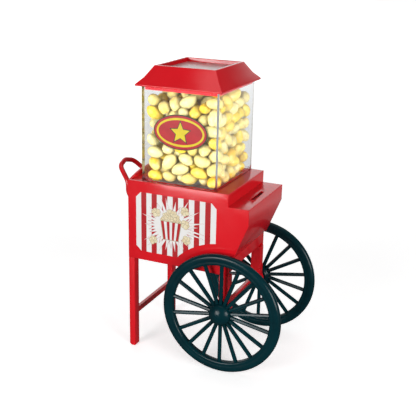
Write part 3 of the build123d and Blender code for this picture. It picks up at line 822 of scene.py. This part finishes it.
def pen(low, high, tall):
    """Four walls and a floor round a space, open at the top."""
    thick = 20 * MM
    outer_low = low - Vector((thick, thick, 0))
    outer_high = Vector((high.x + thick, high.y + thick, tall))
    return [
        wall_block(outer_low - Vector((0, 0, thick)), Vector((outer_high.x, outer_high.y, low.z))),
        wall_block(outer_low, Vector((low.x, outer_high.y, tall))),
        wall_block(Vector((high.x, outer_low.y, low.z)), outer_high),
        wall_block(Vector((low.x, outer_low.y, low.z)), Vector((high.x, low.y, tall))),
        wall_block(Vector((low.x, high.y, low.z)), Vector((high.x, outer_high.y, tall))),
    ]


def drop_in(shape, low, high, count, chance):
    """Candies at random turns, stacked loosely over a space."""
    pitch = CANDY_LENGTH * 1.1
    across = max(1, int((high.x - low.x) / pitch))
    along = max(1, int((high.y - low.y) / pitch))
    made = []
    for i in range(count):
        layer, rest = divmod(i, across * along)
        row, column = divmod(rest, across)
        step_x = (high.x - low.x) / across
        step_y = (high.y - low.y) / along
        place = Vector((
            low.x + (column + 0.5) * step_x + chance.uniform(-0.4, 0.4) * MM,
            low.y + (row + 0.5) * step_y + chance.uniform(-0.4, 0.4) * MM,
            low.z + (layer + 0.6) * pitch,
        ))
        candy = bpy.data.objects.new("settling_candy", shape)
        size = chance.uniform(0.93, 1.06)
        candy.scale = (size,) * 3
        candy.location = place * SETTLE_SCALE
        candy.rotation_euler = [chance.uniform(0, tau) for _ in range(3)]
        bpy.context.scene.collection.objects.link(candy)
        made.append(candy)
    return made


def add_to_settling(group, kind, shape):
    """Gives objects their part in the settling, with the slip and damping of candy."""
    bpy.ops.object.select_all(action="DESELECT")
    for item in group:
        item.select_set(True)
    bpy.context.view_layer.objects.active = group[0]
    bpy.ops.rigidbody.objects_add(type=kind)
    for item in group:
        item.rigid_body.collision_shape = shape
        item.rigid_body.friction = 0.35
        item.rigid_body.restitution = 0.0
        item.rigid_body.linear_damping = 0.08
        item.rigid_body.angular_damping = 0.25
        item.rigid_body.use_margin = True
        item.rigid_body.collision_margin = 0.01


cup_low, cup_high = (Vector(corner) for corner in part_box("bean_drawer"))
cup_space_low = Vector((body_back + 62.6 * MM, cup_low.y + 1.6 * MM, cup_low.z + 1.4 * MM))
cup_space_high = Vector((cup_high.x - 1.6 * MM, cup_high.y - 1.6 * MM, cup_high.z))
fill_low = Vector((hopper_low.x + hopper_wall, hopper_low.y + hopper_wall, deck_top + 0.3 * MM))
fill_high = Vector((hopper_high.x - hopper_wall, hopper_high.y - hopper_wall, skirt_low))

scene = bpy.context.scene
candy_mesh = candy_shape()
settling_mesh = candy_mesh.copy()
settling_mesh.transform(Matrix.Scale(SETTLE_SCALE, 4))
chance = Random(4)
bpy.ops.rigidbody.world_add()
scene.gravity = (0, 0, -98.1)
scene.rigidbody_world.substeps_per_frame = 12
scene.rigidbody_world.solver_iterations = 20
scene.rigidbody_world.point_cache.frame_end = SETTLE_FRAMES
in_hopper = drop_in(settling_mesh, fill_low, fill_high, CANDY_COUNT, chance)
shifted = Vector((0.5, 0, 0))
in_cup = drop_in(settling_mesh, cup_space_low + shifted, cup_space_high + shifted, CUP_COUNT, chance)
pens = pen(fill_low, fill_high, fill_low.z + 0.6)
pens += pen(cup_space_low + shifted, cup_space_high + shifted, cup_space_low.z + 0.15)
add_to_settling(in_hopper + in_cup, "ACTIVE", "CONVEX_HULL")
add_to_settling(pens, "PASSIVE", "BOX")
for moment in range(1, SETTLE_FRAMES + 1):
    scene.frame_set(moment)
depsgraph = bpy.context.evaluated_depsgraph_get()


def resting(candies, shift, top, heap_low=None, heap_high=None):
    """Where each candy came to rest, in metres, without those that stand over the top.

    Inside the heap's two corners a candy may stand a little higher.
    """
    rests = []
    for candy in candies:
        still = candy.evaluated_get(depsgraph).matrix_world
        spot = still.translation / SETTLE_SCALE - shift
        limit = top
        if heap_low and all(heap_low[i] < spot[i] < heap_high[i] for i in (0, 1)):
            limit = heap_high.z
        if spot.z < limit:
            rests.append((spot, still.to_euler(), still.to_scale().x))
    return rests


heap_low = fill_low + Vector((INSIDE_SKIRT, INSIDE_SKIRT, 0))
heap_high = fill_high + Vector((-INSIDE_SKIRT, -INSIDE_SKIRT, HEAP_RISE))
hopper_rests = resting(in_hopper, Vector((0, 0, 0)), skirt_low - UNDER_SKIRT, heap_low, heap_high)
cup_rests = resting(in_cup, shifted, cup_space_high.z - UNDER_RIM)
bpy.ops.rigidbody.world_remove()
for left_over in in_hopper + in_cup + pens:
    bpy.data.objects.remove(left_over)
scene.frame_set(1)
print("candies settled:", len(hopper_rests), "in the hopper,", len(cup_rests), "in the drawer")


def candy_tree():
    """Sets a candy on each resting point, at its turn and size."""
    tree = bpy.data.node_groups.new("settled candy", "GeometryNodeTree")
    face = tree.interface
    face.new_socket("Geometry", in_out="INPUT", socket_type="NodeSocketGeometry")
    face.new_socket("Candy", in_out="INPUT", socket_type="NodeSocketObject")
    face.new_socket("Seed", in_out="INPUT", socket_type="NodeSocketInt")
    face.new_socket("Material", in_out="INPUT", socket_type="NodeSocketMaterial")
    face.new_socket("Geometry", in_out="OUTPUT", socket_type="NodeSocketGeometry")
    link = tree.links.new
    given = node(tree, "NodeGroupInput", -900, 0)
    one = node(tree, "GeometryNodeObjectInfo", -700, -150)
    turn = node(tree, "GeometryNodeInputNamedAttribute", -700, -350, data_type="FLOAT_VECTOR")
    turn.inputs["Name"].default_value = "turn"
    size = node(tree, "GeometryNodeInputNamedAttribute", -700, -550, data_type="FLOAT")
    size.inputs["Name"].default_value = "size"
    place = node(tree, "GeometryNodeInstanceOnPoints", -450, 0)
    tone = node(tree, "FunctionNodeRandomValue", -450, -350, data_type="FLOAT")
    keep_tone = node(tree, "GeometryNodeStoreNamedAttribute", -220, 0)
    keep_tone.data_type = "FLOAT"
    keep_tone.domain = "INSTANCE"
    keep_tone.inputs["Name"].default_value = "tone"
    real = node(tree, "GeometryNodeRealizeInstances", 0, 0)
    coated = node(tree, "GeometryNodeSetMaterial", 180, 0)
    result = node(tree, "NodeGroupOutput", 360, 0)
    link(given.outputs["Candy"], one.inputs["Object"])
    link(given.outputs["Geometry"], place.inputs["Points"])
    link(one.outputs["Geometry"], place.inputs["Instance"])
    link(turn.outputs["Attribute"], place.inputs["Rotation"])
    link(size.outputs["Attribute"], place.inputs["Scale"])
    link(given.outputs["Seed"], tone.inputs["Seed"])
    link(place.outputs["Instances"], keep_tone.inputs["Geometry"])
    link(tone.outputs["Value"], keep_tone.inputs["Value"])
    link(keep_tone.outputs["Geometry"], real.inputs["Geometry"])
    link(real.outputs["Geometry"], coated.inputs["Geometry"])
    link(given.outputs["Material"], coated.inputs["Material"])
    link(coated.outputs["Geometry"], result.inputs["Geometry"])
    return tree


def candy_material():
    """Polished sugar shell: each candy has its own ground tone, with blurred yellow spots."""
    material, tree, shader = blank_material("candy_shell")
    place = node(tree, "ShaderNodeTexCoord", -1100, 0)
    tone = node(tree, "ShaderNodeAttribute", -900, 500, attribute_name="tone")
    ground = node(tree, "ShaderNodeValToRGB", -700, 500)
    ground.color_ramp.elements[0].color = PALE
    ground.color_ramp.elements[1].position = 0.93
    ground.color_ramp.elements[1].color = BUTTER
    middle_stop = ground.color_ramp.elements.new(0.62)
    middle_stop.color = CREAM
    blots = node(tree, "ShaderNodeTexNoise", -900, 200)
    blots.inputs["Scale"].default_value = 105
    blots.inputs["Detail"].default_value = 1.5
    patch = map_range(tree, -700, 200, (0.57, 0.66, 0, 1))
    share = map_range(tree, -700, 0, (0.35, 0.75, 0.12, 0.95))
    amount = node(tree, "ShaderNodeMath", -500, 150, operation="MULTIPLY")
    colour = node(tree, "ShaderNodeMix", -300, 300, data_type="RGBA")
    colour.inputs["B"].default_value = SPOT
    link = tree.links.new
    link(tone.outputs["Fac"], ground.inputs["Fac"])
    link(tone.outputs["Fac"], share.inputs["Value"])
    link(place.outputs["Object"], blots.inputs["Vector"])
    link(blots.outputs["Fac"], patch.inputs["Value"])
    link(patch.outputs["Result"], amount.inputs[0])
    link(share.outputs["Result"], amount.inputs[1])
    link(amount.outputs[0], colour.inputs["Factor"])
    link(ground.outputs["Color"], colour.inputs["A"])
    link(colour.outputs["Result"], shader.inputs["Base Color"])
    uneven_gloss(tree, shader, place, 90, 0.2, 0.36)
    ripple(tree, shader, place, 260, 0.12 * MM, 0.2)
    shader.inputs["Subsurface Weight"].default_value = 0.35
    shader.inputs["Subsurface Scale"].default_value = 2.5 * MM
    shader.inputs["Subsurface Radius"].default_value = (1.0, 0.85, 0.4)
    return material


candy_shell = candy_material()
candy_grown = candy_tree()
sample_candy = bpy.data.objects.new("sample_candy", candy_mesh)


def candy_piece(name, rests, body, seed):
    """All the candies in one place, as one piece."""
    points = bpy.data.meshes.new(name + "_points")
    points.from_pydata([rest[0] for rest in rests], [], [])
    points.attributes.new("turn", "FLOAT_VECTOR", "POINT")
    points.attributes.new("size", "FLOAT", "POINT")
    points.attributes["turn"].data.foreach_set("vector", [angle for rest in rests for angle in rest[1]])
    points.attributes["size"].data.foreach_set("value", [rest[2] for rest in rests])
    mesh = grown(name, points, candy_grown, candy=sample_candy, seed=seed, material=candy_shell)
    mesh.shade_smooth()
    return new_piece(name, mesh, candy_shell, body)


candy_piece("candy_in_hopper", hopper_rests, body_of["hopper_box"], 3)
candy_piece("candy_in_drawer", cup_rests, body_of["bean_drawer"], 8)
bpy.data.objects.remove(sample_candy)


# ---- lid -----------------------------------------------------------------------------------
# A hollow red roof with flared eaves and a sunken panel of translucent plastic.  Its skirt
# fits inside the hopper, and it lifts straight off.
LID_EDGE = 0.55 * MM
WINDOW_DEEP = (0.56, 0.37, 0.36, 1)
WINDOW_PALE = (0.64, 0.44, 0.43, 1)
rounded("lid_roof", LID_EDGE, lambda edge: length(edge) > 4 * MM, red_plastic, 3, 12)

window_plastic, tree, shader = blank_material("frosted_window_sheet")
place = mottle(tree, shader, (WINDOW_DEEP, WINDOW_PALE), 22)
uneven_gloss(tree, shader, place, 70, 0.16, 0.3)
ripple(tree, shader, place, 500, 0.05 * MM, 0.25)
repaint("lid_window", window_plastic)


# ---- works inside and underneath -----------------------------------------------------------
# The funnel and the coin chute are plain white mouldings.  The axle is a drawn steel rod with
# stamped rings, the screws are zinc plated, and a soft black plug shuts the coin bank.
WHITES = ((0.72, 0.71, 0.67, 1), (0.80, 0.79, 0.75, 1))
BLACKS = ((0.012, 0.012, 0.012, 1), (0.03, 0.03, 0.03, 1))
STEELS = ((0.42, 0.42, 0.43, 1), (0.56, 0.56, 0.57, 1))
ZINCS = ((0.55, 0.55, 0.56, 1), (0.70, 0.70, 0.70, 1))
white_plastic = moulded("white_satin_moulding", WHITES, (0.3, 0.42))
plug_rubber = moulded("black_rubber", BLACKS, (0.55, 0.75), 40, 700, 0.1 * MM, 0.4)


def metal(name, colours, gloss):
    """Bare metal with a fine grain."""
    return moulded(name, colours, gloss, 60, 1400, 0.02 * MM, 0.3, Metallic=1)


coats = {
    "white_plastic": white_plastic,
    "plug_rubber": plug_rubber,
    "axle_steel": metal("drawn_steel", STEELS, (0.25, 0.4)),
    "screw_steel": metal("zinc_plate", ZINCS, (0.22, 0.36)),
}
for name, slot in slot_of.items():
    if slot in coats:
        repaint(name, coats[slot])


# ---- floor, light and camera ---------------------------------------------------------------
# A plain pale floor under soft light, seen from the near front corner a little above.
EYE = Vector((289.9, -662.7, 386.3)) * MM
YAW = radians(23.74)
PITCH = radians(18.53)
ROLL = radians(1.27)
FOCAL = 66.773
SENSOR = 36
CART_MIDDLE = Vector((0, 0, 0.14))
BRIGHT_SIDE = Vector((-0.52, 0.80, 0.22)).normalized()



def floor_paint():
    """Pale floor.

    To the camera, and through clear plastic, it is white at any distance and keeps a faint
    shadow.  To the cart's gloss it is dark, but for its far part.
    """
    material, tree, shader = blank_material("pale_floor")
    shader.inputs["Roughness"].default_value = 0.8
    shader.inputs["Emission Color"].default_value = (1, 1, 1, 1)
    rays = node(tree, "ShaderNodeLightPath", -700, 400)
    paint = node(tree, "ShaderNodeMix", -400, 400, data_type="RGBA")
    paint.inputs["A"].default_value = (0.05, 0.05, 0.05, 1)
    paint.inputs["B"].default_value = (0.9, 0.9, 0.9, 1)
    spot = node(tree, "ShaderNodeTexCoord", -1100, 0)
    reach = node(tree, "ShaderNodeVectorMath", -900, 100, operation="LENGTH")
    seen = map_range(tree, -700, 100, (0.3, 1.6, 0.55, 1.0))
    depth = node(tree, "ShaderNodeSeparateXYZ", -900, -150)
    mirrored = map_range(tree, -700, -150, (0.3, 0.42, 0.06, 0.38), interpolation_type="SMOOTHSTEP")
    in_sight = node(tree, "ShaderNodeMath", -550, 250, operation="MAXIMUM")
    lit = node(tree, "ShaderNodeMix", -400, 0, data_type="FLOAT")
    link = tree.links.new
    link(rays.outputs["Is Camera Ray"], in_sight.inputs[0])
    link(rays.outputs["Is Transmission Ray"], in_sight.inputs[1])
    link(rays.outputs["Is Camera Ray"], paint.inputs["Factor"])
    link(paint.outputs["Result"], shader.inputs["Base Color"])
    link(spot.outputs["Object"], reach.inputs[0])
    link(reach.outputs["Value"], seen.inputs["Value"])
    link(spot.outputs["Object"], depth.inputs["Vector"])
    link(depth.outputs["Y"], mirrored.inputs["Value"])
    link(in_sight.outputs[0], lit.inputs["Factor"])
    link(mirrored.outputs["Result"], lit.inputs["A"])
    link(seen.outputs["Result"], lit.inputs["B"])
    link(lit.outputs["Result"], shader.inputs["Emission Strength"])
    return material


floor_work = bmesh.new()
bmesh.ops.create_grid(floor_work, x_segments=1, y_segments=1, size=6)
floor_mesh = bpy.data.meshes.new("floor")
floor_work.to_mesh(floor_mesh)
floor_work.free()
floor_mesh.materials.append(floor_paint())
floor = bpy.data.objects.new("floor", floor_mesh)
scene.collection.objects.link(floor)


def studio():
    """Dim surroundings with one bright side, white behind the cart and through clear plastic."""
    made = bpy.data.worlds.new("studio")
    made.use_nodes = True
    tree = made.node_tree
    sky = tree.nodes["Background"]
    sky.inputs["Color"].default_value = (1, 1, 1, 1)
    look = node(tree, "ShaderNodeTexCoord", -900, 0)
    toward = node(tree, "ShaderNodeVectorMath", -700, 0, operation="DOT_PRODUCT")
    toward.inputs[1].default_value = BRIGHT_SIDE
    glow = map_range(tree, -500, 0, (0.7, 0.98, 0.1, 1.3), interpolation_type="SMOOTHSTEP")
    rays = node(tree, "ShaderNodeLightPath", -500, 300)
    often = bounced_often(tree, rays, -500, 500)
    through_clear = node(tree, "ShaderNodeMath", -380, 400, operation="MAXIMUM")
    around = node(tree, "ShaderNodeMix", -250, 0, data_type="FLOAT")
    around.inputs["B"].default_value = 0.4
    backdrop = node(tree, "ShaderNodeMix", -100, 0, data_type="FLOAT")
    backdrop.inputs["B"].default_value = 1.0
    link = tree.links.new
    link(look.outputs["Generated"], toward.inputs[0])
    link(toward.outputs["Value"], glow.inputs["Value"])
    link(often.outputs[0], through_clear.inputs[0])
    link(rays.outputs["Is Transmission Ray"], through_clear.inputs[1])
    link(through_clear.outputs[0], around.inputs["Factor"])
    link(glow.outputs["Result"], around.inputs["A"])
    link(rays.outputs["Is Camera Ray"], backdrop.inputs["Factor"])
    link(around.outputs["Result"], backdrop.inputs["A"])
    link(backdrop.outputs["Result"], sky.inputs["Strength"])
    return made


scene.world = studio()
scene.view_settings.view_transform = "Standard"


def soft_light(name, place, size, power):
    """A square soft box aimed at the middle of the cart."""
    data = bpy.data.lights.new(name, "AREA")
    data.shape = "SQUARE"
    data.size = size
    data.energy = power
    lamp = bpy.data.objects.new(name, data)
    lamp.location = place
    lamp.rotation_euler = (CART_MIDDLE - Vector(place)).to_track_quat("-Z", "Y").to_euler()
    scene.collection.objects.link(lamp)


soft_light("key_light", (-0.45, -1.3, 0.38), 0.64, 12.5)
soft_light("side_light", (1.35, -0.7, 0.38), 0.7, 15)
soft_light("top_light", (0.0, 0.1, 1.6), 1.0, 4)

ahead = Vector((-sin(YAW) * cos(PITCH), cos(YAW) * cos(PITCH), -sin(PITCH)))
level_right = Vector((cos(YAW), sin(YAW), 0))
level_up = level_right.cross(ahead)
right = level_right * cos(ROLL) + level_up * sin(ROLL)
up = level_up * cos(ROLL) - level_right * sin(ROLL)
camera_data = bpy.data.cameras.new("camera")
camera_data.sensor_width = SENSOR
camera_data.lens = FOCAL
camera_data.clip_start = 0.05
camera = bpy.data.objects.new("camera", camera_data)
turn = Matrix((right, up, -ahead)).transposed().to_4x4()
camera.matrix_world = Matrix.Translation(EYE) @ turn
scene.collection.objects.link(camera)
scene.camera = camera
